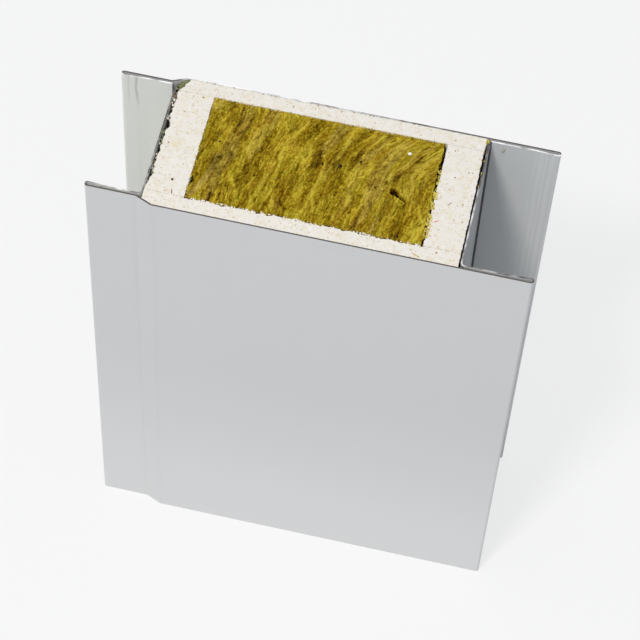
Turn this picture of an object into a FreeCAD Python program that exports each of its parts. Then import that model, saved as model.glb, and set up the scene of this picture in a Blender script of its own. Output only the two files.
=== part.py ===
import FreeCAD, Part
import math
import os

# Upright section of an insulated wall panel: two roll-formed steel face sheets over a core of
# mineral wool framed by magnesium oxide boards and strips. The male edge has flanges that step
# inward, the female edge has straight ones, and a neighbour's male flanges slide in between them.
# X runs across the panel from the male edge to the female edge, Y through the thickness with the
# front face at -Y, and Z up. The origin is the middle of the bottom cut end. Sizes are in mm.

# Overall section
panel_thickness = 50.0
section_height = 190.0

# Face sheets and their bends
sheet_thickness = 0.5
bend_radius = 1.0

# Hems: the fold at the tip is an open loop, and the layers close up towards the core
loop_gap = 0.9
loop_length = 8.0
hem_gap = 0.5

# Male and female edges, measured from the outer face of the side return to the folded tip
male_reach = 17.5
female_reach = 22.2
joint_clearance = 0.4
joggle_run = 5.3
joggle_inset = 4.0

# Side returns of the front sheet, and the gaps beside them
male_core_gap = 0.6
female_core_gap = 0.3
return_edge_gap = 1.2
male_hem_gap = 1.0
female_hem_gap = 0.3

# Core
board_thickness = 5.0
strip_width = 12.0
wool_width = 74.0
corner_relief = 0.8

# Depths through the panel, from the middle plane to the outside
outer_face = panel_thickness / 2
board_face = outer_face - sheet_thickness
board_seam = board_face - board_thickness

# A hem is two layers of sheet. A male flange steps in by a female loop and the slip clearance.
half_sheet = sheet_thickness / 2
hem_pitch = sheet_thickness + hem_gap
hem_thickness = sheet_thickness + hem_pitch
loop_pitch = sheet_thickness + loop_gap
loop_thickness = sheet_thickness + loop_pitch
joggle_depth = loop_thickness + joint_clearance

# Stations across the panel
core_width = wool_width + 2 * strip_width
male_room = sheet_thickness + male_core_gap
female_room = sheet_thickness + female_core_gap
panel_width = male_reach + male_room + core_width + female_room + female_reach
male_tip = -panel_width / 2
female_tip = panel_width / 2
male_return = male_tip + male_reach
female_return = female_tip - female_reach
core_left = male_return + male_room
core_right = female_return - female_room
wool_left = core_left + strip_width
wool_right = core_right - strip_width
joggle_start = male_return + joggle_inset

# Bend radii at the middle of the sheet. The fold turns past 180 degrees by the slope of the loop.
middle_bend = bend_radius + half_sheet
loop_slope = math.atan2(loop_gap - hem_gap, loop_length)
middle_fold = loop_pitch / (1 + math.tan(math.pi / 4 + loop_slope / 2))

SHORTEST_RUN = 1e-6


def left_of(direction):
    """Unit vector a quarter turn to the left of a direction in the section plane."""
    return FreeCAD.Vector(-direction.y, direction.x, 0)


def shifted_line(corners, shift):
    """Edges of a bent middle line moved sideways, with every bend kept concentric."""
    points = [FreeCAD.Vector(x, y, 0) for x, y, radius in corners]
    headings = [(end - start).normalize() for start, end in zip(points, points[1:])]
    here = points[0] + left_of(headings[0]) * shift
    edges = []
    for index in range(1, len(points) - 1):
        before = headings[index - 1]
        after = headings[index]
        radius = corners[index][2]
        setback = radius * math.tan(before.getAngle(after) / 2)
        side = math.copysign(1, left_of(before).dot(after))
        tangent = points[index] - before * setback
        centre = tangent + left_of(before) * (side * radius)
        outward = (left_of(before) + left_of(after)).normalize() * -side
        bend_start = tangent + left_of(before) * shift
        bend_middle = centre + outward * (radius - side * shift)
        bend_end = points[index] + after * setback + left_of(after) * shift
        if here.distanceToPoint(bend_start) > SHORTEST_RUN:
            edges.append(Part.makeLine(here, bend_start))
        edges.append(Part.Arc(bend_start, bend_middle, bend_end).toShape())
        here = bend_end
    edges.append(Part.makeLine(here, points[-1] + left_of(headings[-1]) * shift))
    return edges


def upright(wire):
    """Solid as tall as the section, standing on a closed outline."""
    return Part.Face(wire).extrude(FreeCAD.Vector(0, 0, section_height))


def bent_sheet(corners):
    """Sheet bent through (x, y, radius) corners of its middle line, first and last being free edges."""
    one_side = shifted_line(corners, half_sheet)
    other_side = shifted_line(corners, -half_sheet)
    first_edge = Part.makeLine(one_side[0].firstVertex().Point, other_side[0].firstVertex().Point)
    last_edge = Part.makeLine(one_side[-1].lastVertex().Point, other_side[-1].lastVertex().Point)
    outline = Part.__sortEdges__(one_side + [last_edge] + other_side + [first_edge])
    return upright(Part.Wire(outline))


def outlined(corners):
    """Solid with straight sides through (x, y) corners."""
    points = [FreeCAD.Vector(x, y, 0) for x, y in corners]
    return upright(Part.makePolygon(points + points[:1]))


def block(x_low, x_high, y_low, y_high):
    """Rectangular solid between two stations and two depths."""
    return outlined([(x_low, y_low), (x_high, y_low), (x_high, y_high), (x_low, y_high)])


def hemmed_face(face, inward):
    """Middle line corners of a face sheet between its two hems, from the female to the male side."""
    female_fold = female_tip - half_sheet
    male_fold = male_tip + half_sheet
    male_flange = face + inward * joggle_depth
    return [
        (female_fold - loop_length, face + inward * hem_pitch, middle_bend),
        (female_fold, face + inward * loop_pitch, middle_fold),
        (female_fold, face, middle_fold),
        (joggle_start, face, middle_bend),
        (joggle_start - joggle_run, male_flange, middle_bend),
        (male_fold, male_flange, middle_fold),
        (male_fold, male_flange + inward * loop_pitch, middle_fold),
        (male_fold + loop_length, male_flange + inward * hem_pitch, middle_bend),
    ]


def front_sheet():
    """Front face, whose hems turn in beside the core as side returns that stop short of the back hems."""
    face = hemmed_face(half_sheet - outer_face, 1)
    female_side = female_return - half_sheet
    male_side = male_return + half_sheet
    female_edge = outer_face - hem_thickness - return_edge_gap
    male_edge = female_edge - joggle_depth
    female_return_line = [(female_side, female_edge, 0), (female_side, face[0][1], middle_bend)]
    male_return_line = [(male_side, face[-1][1], middle_bend), (male_side, male_edge, 0)]
    return bent_sheet(female_return_line + face + male_return_line)


def back_sheet():
    """Back face, whose hems end beside the side returns."""
    face = hemmed_face(outer_face - half_sheet, -1)
    female_end = (female_return + female_hem_gap, face[0][1], 0)
    male_end = (male_return - male_hem_gap, face[-1][1], 0)
    return bent_sheet([female_end] + face + [male_end])


def front_core_board():
    """Board across the whole core, its male corner cut back to clear the joggle of the sheet."""
    relief_start = joggle_start + corner_relief
    relief_depth = (relief_start - core_left) * joggle_depth / joggle_run
    return outlined([
        (core_left, -board_seam),
        (core_left, relief_depth - board_face),
        (relief_start, -board_face),
        (core_right, -board_face),
        (core_right, -board_seam),
    ])


front_board = front_core_board()

pieces = {
    "front_face_sheet": front_sheet(),
    "back_face_sheet": back_sheet(),
    "front_board": front_board,
    "back_board": front_board.mirror(FreeCAD.Vector(0, 0, 0), FreeCAD.Vector(0, 1, 0)),
    "left_edge_strip": block(core_left, wool_left, -board_seam, board_seam),
    "right_edge_strip": block(wool_right, core_right, -board_seam, board_seam),
    "wool_core": block(wool_left, wool_right, -board_seam, board_seam),
}

os.makedirs("parts", exist_ok=True)
for name, solid in pieces.items():
    solid.exportStep("parts/" + name + ".step")
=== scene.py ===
import math
import random

import bpy
from mathutils import Matrix, Vector, noise


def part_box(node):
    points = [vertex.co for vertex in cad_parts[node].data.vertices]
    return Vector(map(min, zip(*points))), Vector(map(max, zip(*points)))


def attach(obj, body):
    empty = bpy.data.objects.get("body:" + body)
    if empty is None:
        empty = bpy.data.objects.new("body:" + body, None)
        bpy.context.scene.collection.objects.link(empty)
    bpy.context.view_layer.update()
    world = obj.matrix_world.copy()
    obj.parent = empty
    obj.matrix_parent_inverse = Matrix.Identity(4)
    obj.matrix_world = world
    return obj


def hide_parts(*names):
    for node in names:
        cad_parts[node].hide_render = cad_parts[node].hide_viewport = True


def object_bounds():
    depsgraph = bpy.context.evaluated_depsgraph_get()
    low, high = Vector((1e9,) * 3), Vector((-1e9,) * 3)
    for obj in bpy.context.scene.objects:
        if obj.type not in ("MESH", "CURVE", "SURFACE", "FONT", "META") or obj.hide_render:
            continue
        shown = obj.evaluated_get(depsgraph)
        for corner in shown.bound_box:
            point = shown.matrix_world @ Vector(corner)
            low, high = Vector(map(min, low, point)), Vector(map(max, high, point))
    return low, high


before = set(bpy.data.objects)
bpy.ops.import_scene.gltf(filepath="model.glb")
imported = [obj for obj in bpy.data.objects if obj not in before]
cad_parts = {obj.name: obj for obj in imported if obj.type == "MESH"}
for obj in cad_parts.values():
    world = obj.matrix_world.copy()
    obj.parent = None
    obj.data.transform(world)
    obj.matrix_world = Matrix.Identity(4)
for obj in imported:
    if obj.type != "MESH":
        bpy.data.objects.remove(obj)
cad_low, cad_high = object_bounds()

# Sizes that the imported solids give, in metres
MM = 0.001
section_height = cad_high.z
outer_face = cad_high.y
male_tip = cad_low.x
female_tip = cad_high.x
board_low, board_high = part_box("front_board")
core_left = board_low.x
core_right = board_high.x
board_face = -board_low.y
board_seam = -board_high.y
wool_low, wool_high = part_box("wool_core")
return_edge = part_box("front_face_sheet")[1].y

# Sizes of the roll-formed sheets, as in the solids
sheet_thickness = outer_face - board_face
bend_radius = 1.0 * MM
loop_gap = 0.9 * MM
loop_length = 8.0 * MM
hem_gap = 0.5 * MM
male_reach = 17.5 * MM
female_reach = 22.2 * MM
joint_clearance = 0.4 * MM
joggle_run = 5.3 * MM
joggle_inset = 4.0 * MM
male_hem_gap = 1.0 * MM
female_hem_gap = 0.3 * MM
bend_steps = 10

half_sheet = sheet_thickness / 2
hem_pitch = sheet_thickness + hem_gap
loop_pitch = sheet_thickness + loop_gap
joggle_depth = sheet_thickness + loop_pitch + joint_clearance
male_return = male_tip + male_reach
female_return = female_tip - female_reach
joggle_start = male_return + joggle_inset
middle_bend = bend_radius + half_sheet
loop_slope = math.atan2(loop_gap - hem_gap, loop_length)
middle_fold = loop_pitch / (1 + math.tan(math.pi / 4 + loop_slope / 2))

# Camera of the photograph: where it stands, how it is turned, and its lens
IMAGE_SIZE = 640
SENSOR_WIDTH = 36.0
camera_place = Vector((76.78, -460.08, 841.81)) * MM
camera_azimuth = math.radians(9.2427)
camera_elevation = math.radians(57.662)
camera_roll = math.radians(3.9191)
focal_pixels = 2613.53

# Lean of the wool's tufts towards the female edge, and how fast they fan out there
wool_lean = math.radians(9.0)
wool_fan = 0.0128 / MM

FLOAT = "NodeSocketFloat"
COLOR = "NodeSocketColor"
VECTOR = "NodeSocketVector"
GEOMETRY = "NodeSocketGeometry"
MATERIAL = "NodeSocketMaterial"
INTEGER = "NodeSocketInt"


def add_node(tree, kind, inputs=None, **options):
    """New node with its options set, and each input given as a constant or linked to a socket."""
    made = tree.nodes.new(kind)
    for option, value in options.items():
        setattr(made, option, value)
    for key, value in (inputs or {}).items():
        if isinstance(value, bpy.types.NodeSocket):
            tree.links.new(value, made.inputs[key])
        else:
            made.inputs[key].default_value = value
    return made


def calculate(tree, operation, first, second=0.0):
    """Result of one arithmetic step."""
    return add_node(tree, "ShaderNodeMath", {0: first, 1: second}, operation=operation).outputs[0]


def product(tree, *factors):
    """Factors multiplied together."""
    result = factors[0]
    for factor in factors[1:]:
        result = calculate(tree, "MULTIPLY", result, factor)
    return result


def away_from(tree, value, middle):
    """Distance of a value from a middle one."""
    return calculate(tree, "ABSOLUTE", calculate(tree, "SUBTRACT", value, middle))


def blend_colours(tree, factor, first, second):
    """Colour between two colours."""
    made = add_node(tree, "ShaderNodeMix", {0: factor, 6: first, 7: second}, data_type="RGBA")
    return made.outputs[2]


def remap(tree, value, low, high, new_low=0.0, new_high=1.0):
    """Value moved from one range to another and held inside it."""
    made = add_node(tree, "ShaderNodeMapRange", {0: value, 1: low, 2: high, 3: new_low, 4: new_high})
    return made.outputs[0]


def scaled(tree, vector, factor):
    """Vector or colour times a number."""
    made = add_node(tree, "ShaderNodeVectorMath", {0: vector, "Scale": factor}, operation="SCALE")
    return made.outputs[0]


def combined(tree, operation, first, second):
    """Result of one step on two vectors or colours."""
    made = add_node(tree, "ShaderNodeVectorMath", {0: first, 1: second}, operation=operation)
    return made.outputs[0]


def random_push(tree, reach, settings):
    """Push to any side that wanders from place to place, by up to half of its reach."""
    pattern = add_node(tree, "ShaderNodeTexNoise", settings).outputs["Color"]
    return scaled(tree, combined(tree, "SUBTRACT", pattern, (0.5, 0.5, 0.5)), reach)


def parts_of(tree, vector):
    """The X, Y and Z of a vector."""
    return add_node(tree, "ShaderNodeSeparateXYZ", {0: vector}).outputs


def vector_of(tree, x=0.0, y=0.0, z=0.0):
    """Vector from its X, Y and Z."""
    return add_node(tree, "ShaderNodeCombineXYZ", {0: x, 1: y, 2: z}).outputs[0]


def colour_ramp(tree, factor, colours):
    """Colour along a ramp of (position, colour) stops."""
    ramp = add_node(tree, "ShaderNodeValToRGB", {0: factor})
    stops = ramp.color_ramp.elements
    stops.remove(stops[1])
    for index, (position, colour) in enumerate(colours):
        stop = stops.new(position) if index else stops[0]
        stop.position = position
        stop.color = (*colour, 1.0)
    return ramp.outputs[0]


def object_place(tree, stretch=(1.0, 1.0, 1.0)):
    """Object coordinates, stretched along each axis."""
    coordinates = add_node(tree, "ShaderNodeTexCoord").outputs["Object"]
    return add_node(tree, "ShaderNodeMapping", {"Vector": coordinates, "Scale": stretch}).outputs[0]


def surface_value(tree, name):
    """Number that the mesh carries at each place."""
    return add_node(tree, "ShaderNodeAttribute", attribute_name=name).outputs["Fac"]


def new_group(name, kind, inputs, outputs):
    """Node group with named inputs as (kind, default) and named outputs as kinds."""
    tree = bpy.data.node_groups.new(name, kind)
    for title, (socket_kind, default) in inputs.items():
        socket = tree.interface.new_socket(title, in_out="INPUT", socket_type=socket_kind)
        if default is not None:
            socket.default_value = default
    for title, socket_kind in outputs.items():
        tree.interface.new_socket(title, in_out="OUTPUT", socket_type=socket_kind)
    start = add_node(tree, "NodeGroupInput")
    end = add_node(tree, "NodeGroupOutput")
    return tree, start.outputs, end.inputs


def use_group(tree, group, inputs):
    """Outputs of a shader node group placed in a material."""
    return add_node(tree, "ShaderNodeGroup", inputs, node_tree=group).outputs


def new_material(name):
    """Empty material with its Principled shader wired to the output."""
    material = bpy.data.materials.new(name)
    material.use_nodes = True
    tree = material.node_tree
    tree.nodes.clear()
    shader = add_node(tree, "ShaderNodeBsdfPrincipled")
    output = add_node(tree, "ShaderNodeOutputMaterial")
    tree.links.new(shader.outputs[0], output.inputs[0])
    return material, tree, shader.inputs


def roughen(tree, shader, height, strength, distance):
    """Fine relief on a surface."""
    settings = {"Height": height, "Strength": strength, "Distance": distance}
    tree.links.new(add_node(tree, "ShaderNodeBump", settings).outputs[0], shader["Normal"])


def build_speckle():
    """Scattered spots: a share of the cells of a grid holds a spot of about the given size."""
    inputs = {
        "Vector": (VECTOR, None),
        "Scale": (FLOAT, 1000.0),
        "Size": (FLOAT, 0.2),
        "Share": (FLOAT, 0.2),
    }
    tree, given, result = new_group("speckle", "ShaderNodeTree", inputs, {"Mask": FLOAT})
    ragged_rim = {"Vector": given["Vector"], "Scale": 2600.0, "Detail": 1.0}
    place = combined(tree, "ADD", given["Vector"], random_push(tree, 0.5 * MM, ragged_rim))
    cells = add_node(tree, "ShaderNodeTexVoronoi", {"Vector": place, "Scale": given["Scale"]}).outputs
    draw = add_node(tree, "ShaderNodeSeparateColor", {0: cells["Color"]}).outputs
    chosen = calculate(tree, "LESS_THAN", draw[0], given["Share"])
    radius = product(tree, given["Size"], remap(tree, draw[1], 0.0, 1.0, 0.4, 1.3))
    spot = remap(tree, cells["Distance"], radius, product(tree, radius, 0.55))
    tree.links.new(product(tree, spot, chosen), result["Mask"])
    return tree


def build_mottle():
    """Soft unevenness of tone around one, and the same pattern as a height."""
    inputs = {
        "Vector": (VECTOR, None),
        "Scale": (FLOAT, 100.0),
        "Detail": (FLOAT, 4.0),
        "Strength": (FLOAT, 0.1),
    }
    tree, given, result = new_group("mottle", "ShaderNodeTree", inputs, {"Tone": FLOAT, "Height": FLOAT})
    settings = {"Vector": given["Vector"], "Scale": given["Scale"], "Detail": given["Detail"]}
    pattern = add_node(tree, "ShaderNodeTexNoise", settings).outputs[0]
    swing = product(tree, calculate(tree, "SUBTRACT", pattern, 0.5), 2.0, given["Strength"])
    tree.links.new(calculate(tree, "ADD", swing, 1.0), result["Tone"])
    tree.links.new(pattern, result["Height"])
    return tree


# Tints of the wool, dark in its hollows as painted shade and light on the tips of its tufts as painted light
wool_tints = (
    (0.14, (0.030, 0.017, 0.002)),
    (0.27, (0.110, 0.065, 0.003)),
    (0.40, (0.200, 0.125, 0.006)),
    (0.52, (0.300, 0.206, 0.012)),
    (0.66, (0.410, 0.312, 0.026)),
    (0.84, (0.580, 0.470, 0.060)),
)

# Thin washes over those tints, and the tint of dull bundles
green_wash = (0.92, 0.985, 0.75, 1.0)
brown_wash = (1.0, 0.845, 0.67, 1.0)
dull_tint = (0.62, 0.44, 0.11)

# Bright and dark specks in the wool: scale, share and stain
wool_specks = (
    (1000.0, 0.10, (0.64, 0.56, 0.16, 1.0)),
    (850.0, 0.12, (0.05, 0.03, 0.004, 1.0)),
)


def build_wool_tint():
    """Olive and brown of the wool, in strands along its grain, painted lighter where a tuft stands up and
    darker in its hollows.
    """
    inputs = {"Grain": (VECTOR, None), "Lift": (FLOAT, 0.5), "Dullness": (FLOAT, 0.0)}
    tree, given, result = new_group("wool_tint", "ShaderNodeTree", inputs, {"Color": COLOR})

    def streaks(squeeze, scale, detail, low, high):
        settings = {"Vector": given["Grain"], "Scale": (1.0, squeeze, 1.0)}
        drawn = add_node(tree, "ShaderNodeMapping", settings).outputs[0]
        pattern = use_group(tree, mottle, {"Vector": drawn, "Scale": scale, "Detail": detail})
        return remap(tree, pattern["Height"], low, high)

    # The ramp follows tone and painted light: low in hollows as painted shade, high on standing tufts as
    # painted light
    height = calculate(tree, "ADD", product(tree, given["Lift"], 0.26), -0.13)
    for squeeze, scale, detail, low, high, weight in (
        (0.20, 170.0, 3.0, 0.36, 0.64, 0.14),
        (0.22, 430.0, 3.0, 0.35, 0.65, 0.20),
        (0.34, 1300.0, 2.0, 0.30, 0.70, 0.18),
        (0.60, 1900.0, 2.0, 0.30, 0.70, 0.30),
    ):
        strands = calculate(tree, "SUBTRACT", streaks(squeeze, scale, detail, low, high), 0.5)
        height = calculate(tree, "ADD", height, product(tree, strands, weight))
    for squeeze, scale, weight in ((0.12, 560.0, 0.16), (0.16, 760.0, -0.10)):
        away = away_from(tree, streaks(squeeze, scale, 1.0, 0.0, 1.0), 0.5)
        sliver = remap(tree, away, 0.045, 0.0)
        height = calculate(tree, "ADD", height, product(tree, sliver, weight))
    height = calculate(tree, "ADD", height, 0.54)
    flakes = product(tree, streaks(0.60, 1000.0, 2.0, 0.30, 0.70), 0.55)
    patches = product(tree, streaks(0.45, 260.0, 3.0, 0.36, 0.64), 0.45)
    wash = blend_colours(tree, calculate(tree, "ADD", flakes, patches), green_wash, brown_wash)
    colour = combined(tree, "MULTIPLY", colour_ramp(tree, height, wool_tints), wash)
    dull = product(tree, given["Dullness"], remap(tree, height, 0.2, 0.6, 0.15, 0.36))
    colour = blend_colours(tree, dull, colour, scaled(tree, dull_tint, height))
    for scale, share, stain in wool_specks:
        settings = {"Vector": given["Grain"], "Scale": scale, "Size": 0.14, "Share": share}
        spots = use_group(tree, speckle, settings)
        colour = blend_colours(tree, product(tree, spots["Mask"], 0.7), colour, stain)
    tree.links.new(colour, result["Color"])
    return tree


def wool_grain_place(tree):
    """Place across and along the wool's tufts, from the values that its mesh carries."""
    level = parts_of(tree, object_place(tree))[2]
    return vector_of(tree, surface_value(tree, "across"), surface_value(tree, "along"), level)


speckle = build_speckle()
mottle = build_mottle()
wool_tint = build_wool_tint()


# Tones that tell the layers of the bent sheets apart, and the coat's colour on each: the female side return,
# darker as painted shade, the inside of the female flanges, the joggle, darker as painted shade, the outer
# faces, and the male inside, lighter and warmer as painted light
return_painted_shade = 0.0
female_tone = 0.3
joggle_painted_shade = 0.4
outer_tone = 0.5
male_painted_light = 1.0
coat_and_painted_light_layers = (
    (return_painted_shade, (0.340, 0.350, 0.362)),
    (female_tone, (0.526, 0.537, 0.541)),
    (joggle_painted_shade, (0.518, 0.519, 0.525)),
    (outer_tone, (0.531, 0.532, 0.540)),
    (male_painted_light, (0.660, 0.665, 0.632)),
)

# Marks inside the flanges: station across the panel, half width, lowest and highest level, waver, strength
# and colour, in millimetres. A mark of the whole height has its faded ends past the cut ends.
whole_height = (-100.0, 300.0)
upper_end = (174.0, 198.0)
smear_stain = (0.30, 0.30, 0.29, 1.0)
# Painted shadow: a dark line at the hem's end in place of the shade of the gap beside it
hem_end_painted_shadow = (0.03, 0.03, 0.035, 1.0)
# Painted highlight: pale upright gleams on the inside of the female flange
painted_gleam = (0.85, 0.86, 0.88, 1.0)
flange_marks = (
    (-64.8, 0.55, upper_end, 1.6, 0.55, smear_stain),
    (-67.4, 0.45, upper_end, 1.0, 0.25, smear_stain),
    (-64.4, 0.80, (-60.0, 190.0), 0.8, 0.10, smear_stain),
    (48.0, 0.32, whole_height, 0.1, 0.85, hem_end_painted_shadow),
    (62.2, 0.6, whole_height, 0.8, 0.08, painted_gleam),
    (64.0, 1.1, whole_height, 0.8, 0.13, painted_gleam),
    (65.6, 0.5, whole_height, 0.8, 0.16, painted_gleam),
    (67.4, 0.9, whole_height, 0.8, 0.15, painted_gleam),
)


def upright_mark(tree, x, half_width, span, waver_reach):
    """Mask of a wavering upright mark at a station, fading in and out between two levels."""
    place = object_place(tree)
    parts = parts_of(tree, place)
    low, high = span
    wave = add_node(tree, "ShaderNodeTexNoise", {"Vector": place, "Scale": 110.0, "Detail": 3.0}).outputs[0]
    waver = product(tree, calculate(tree, "SUBTRACT", wave, 0.5), waver_reach * MM)
    away = away_from(tree, calculate(tree, "ADD", parts[0], waver), x * MM)
    band = remap(tree, away, half_width * MM, 0.3 * half_width * MM)
    fading = 0.3 * (high - low)
    rise = remap(tree, parts[2], low * MM, (low + fading) * MM)
    fall = remap(tree, parts[2], high * MM, (high - fading) * MM)
    return product(tree, band, rise, fall)


def is_inner(tree):
    """One on the layers folded inside, and nought on the outer faces."""
    return remap(tree, away_from(tree, surface_value(tree, "layer_and_painted_light"), outer_tone), 0.02, 0.1)


def build_coil_coat():
    """Satin light grey coil coating with faint rolling streaks, wipe marks, orange peel, dust, and painted
    light and shade.
    """
    material, tree, shader = new_material("coil_coat")
    place = object_place(tree)
    clouds = use_group(tree, mottle, {"Vector": place, "Scale": 14.0, "Strength": 0.02})
    rolled = object_place(tree, stretch=(1.0, 1.0, 0.02))
    streaks = use_group(tree, mottle, {"Vector": rolled, "Scale": 380.0, "Detail": 3.0, "Strength": 0.006})
    dust = use_group(tree, speckle, {"Vector": place, "Scale": 330.0, "Size": 0.07, "Share": 0.08})
    layer = surface_value(tree, "layer_and_painted_light")
    unevenness = product(tree, clouds["Tone"], streaks["Tone"])
    # The layer colours paint shade onto the female return and the joggle, and light onto the male inside
    coat = scaled(tree, colour_ramp(tree, layer, coat_and_painted_light_layers), unevenness)
    # Each mark lays its colour: real smears, the painted shadow at the hem's end and the painted gleams
    for x, half_width, span, waver_reach, strength, stain in flange_marks:
        mark = upright_mark(tree, x, half_width, span, waver_reach)
        coat = blend_colours(tree, product(tree, mark, strength, is_inner(tree)), coat, stain)
    coat = blend_colours(tree, product(tree, dust["Mask"], 0.25), coat, (0.42, 0.40, 0.36, 1.0))
    tree.links.new(coat, shader["Base Color"])
    dulled = remap(tree, layer, return_painted_shade, female_tone, 0.5, 0.0)
    satin = remap(tree, clouds["Height"], 0.2, 0.8, 0.36, 0.48)
    tree.links.new(calculate(tree, "ADD", satin, dulled), shader["Roughness"])
    peel = use_group(tree, mottle, {"Vector": place, "Scale": 900.0, "Detail": 1.0})
    roughen(tree, shader, peel["Height"], 0.06, 0.1 * MM)
    return material


def build_cut_steel():
    """Sawn steel edge: dark and dull in places, bright where edge_shine is high, partly clean metal and
    partly painted highlight.
    """
    material, tree, shader = new_material("cut_steel")
    shine = surface_value(tree, "edge_shine")
    settings = {"Vector": object_place(tree), "Scale": 260.0, "Detail": 5.0, "Strength": 0.35}
    scuffs = use_group(tree, mottle, settings)
    patchy = product(tree, calculate(tree, "SUBTRACT", scuffs["Height"], 0.5), 1.6)
    # Brightness from edge_shine: partly clean metal, partly a painted highlight on the inner layers' edges
    clean_and_highlit = calculate(tree, "ADD", shine, patchy)
    bright = product(tree, remap(tree, clean_and_highlit, 0.15, 0.85), remap(tree, shine, 0.0, 0.3))
    colour = blend_colours(tree, bright, (0.085, 0.074, 0.066, 1.0), (0.88, 0.87, 0.86, 1.0))
    tree.links.new(scaled(tree, colour, scuffs["Tone"]), shader["Base Color"])
    shader["Roughness"].default_value = 0.55
    return material


# Specks in the sawn board: scale, size, share, strength and stain
board_specks = (
    (520.0, 0.28, 0.30, 0.50, (0.90, 0.88, 0.86, 1.0)),
    (1150.0, 0.28, 0.60, 0.85, (0.57, 0.44, 0.26, 1.0)),
    (650.0, 0.19, 0.55, 0.75, (0.50, 0.35, 0.16, 1.0)),
    (400.0, 0.10, 0.35, 0.60, (0.29, 0.19, 0.10, 1.0)),
)


def build_magnesium_board():
    """Sawn cream board with fine flecks, ochre and brown specks, resin stains, a grainy cut and painted shade
    down its outer sides.
    """
    material, tree, shader = new_material("magnesium_board")
    place = object_place(tree)
    clouds = use_group(tree, mottle, {"Vector": place, "Scale": 210.0, "Detail": 6.0, "Strength": 0.035})
    grain = use_group(tree, mottle, {"Vector": place, "Scale": 1400.0, "Detail": 3.0, "Strength": 0.09})
    flecks = use_group(tree, mottle, {"Vector": place, "Scale": 620.0, "Detail": 3.0})
    warm = remap(tree, flecks["Height"], 0.48, 0.68)
    body = blend_colours(tree, warm, (0.792, 0.752, 0.694, 1.0), (0.758, 0.690, 0.560, 1.0))
    body = scaled(tree, body, product(tree, clouds["Tone"], grain["Tone"]))
    resin = product(tree, surface_value(tree, "resin"), remap(tree, clouds["Height"], 0.3, 0.6, 0.3, 1.0))
    body = blend_colours(tree, resin, body, (0.70, 0.60, 0.30, 1.0))
    for scale, size, share, strength, stain in board_specks:
        spots = use_group(tree, speckle, {"Vector": place, "Scale": scale, "Size": size, "Share": share})
        body = blend_colours(tree, product(tree, spots["Mask"], strength), body, stain)
    # Painted shade: the board's outer sides turn near black below the cut end, in the gaps
    painted_gap_shade = product(tree, surface_value(tree, "painted_gap_shade"), remap(tree, clouds["Height"], 0.3, 0.6, 0.8, 1.0))
    body = blend_colours(tree, painted_gap_shade, body, (0.055, 0.045, 0.030, 1.0))
    tree.links.new(body, shader["Base Color"])
    shader["Roughness"].default_value = 0.9
    shader["Specular IOR Level"].default_value = 0.15
    roughen(tree, shader, calculate(tree, "ADD", grain["Height"], clouds["Height"]), 0.35, 0.2 * MM)
    return material


def wool_colour(tree, grain, tone_and_painted_light):
    """Colour of the wool at a place of its grain, with painted light where it stands up and painted shade
    where it sinks.
    """
    values = {"Grain": grain, "Lift": tone_and_painted_light, "Dullness": surface_value(tree, "dullness")}
    return use_group(tree, wool_tint, values)["Color"]


def build_mineral_wool():
    """Cut face of the wool block, with the painted light and shade that its mesh carries."""
    material, tree, shader = new_material("mineral_wool")
    grain = wool_grain_place(tree)
    tree.links.new(wool_colour(tree, grain, surface_value(tree, "tone_and_painted_light")), shader["Base Color"])
    shader["Roughness"].default_value = 1.0
    shader["Specular IOR Level"].default_value = 0.0
    fuzz = use_group(tree, mottle, {"Vector": grain, "Scale": 2600.0, "Detail": 2.0})
    roughen(tree, shader, fuzz["Height"], 0.5, 0.2 * MM)
    return material


def build_wool_fibre():
    """Loose fibres, each with a tone of its own over the painted light of the face below."""
    material, tree, shader = new_material("wool_fibre")
    own_tone = remap(tree, surface_value(tree, "fibre_tone"), 0.0, 1.0, -0.45, 0.65)
    tone = calculate(tree, "ADD", product(tree, surface_value(tree, "tone_and_painted_light"), 0.85), own_tone)
    tree.links.new(wool_colour(tree, wool_grain_place(tree), tone), shader["Base Color"])
    shader["Roughness"].default_value = 0.8
    shader["Specular IOR Level"].default_value = 0.1
    return material


def build_stained(name, roughness):
    """Small loose pieces that carry a colour of their own."""
    material, tree, shader = new_material(name)
    stain = add_node(tree, "ShaderNodeAttribute", attribute_name="stain").outputs["Color"]
    settings = {"Vector": object_place(tree), "Scale": 2200.0, "Detail": 3.0, "Strength": 0.3}
    grain = use_group(tree, mottle, settings)
    tree.links.new(scaled(tree, stain, grain["Tone"]), shader["Base Color"])
    shader["Roughness"].default_value = roughness
    shader["Specular IOR Level"].default_value = 0.15
    roughen(tree, shader, grain["Height"], 0.3, 0.1 * MM)
    return material


coil_coat = build_coil_coat()
cut_steel = build_cut_steel()
magnesium_board = build_magnesium_board()
mineral_wool = build_mineral_wool()
wool_fibre = build_wool_fibre()
board_crumb = build_stained("board_crumb", 0.9)
resin_glue = build_stained("resin_glue", 0.45)


def add_object(name, data):
    """New object at the origin for a mesh, a lamp or a camera."""
    made = bpy.data.objects.new(name, data)
    bpy.context.scene.collection.objects.link(made)
    return made


def seat(piece, slot, *nodes):
    """Makes a finished piece part of the panel, in place of the solids that it stands for."""
    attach(piece, "root")
    if nodes:
        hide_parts(*nodes)


def baked(piece):
    """Plain mesh of a piece with its modifiers worked in."""
    bpy.context.view_layer.update()
    return bpy.data.meshes.new_from_object(piece.evaluated_get(bpy.context.evaluated_depsgraph_get()))


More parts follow.
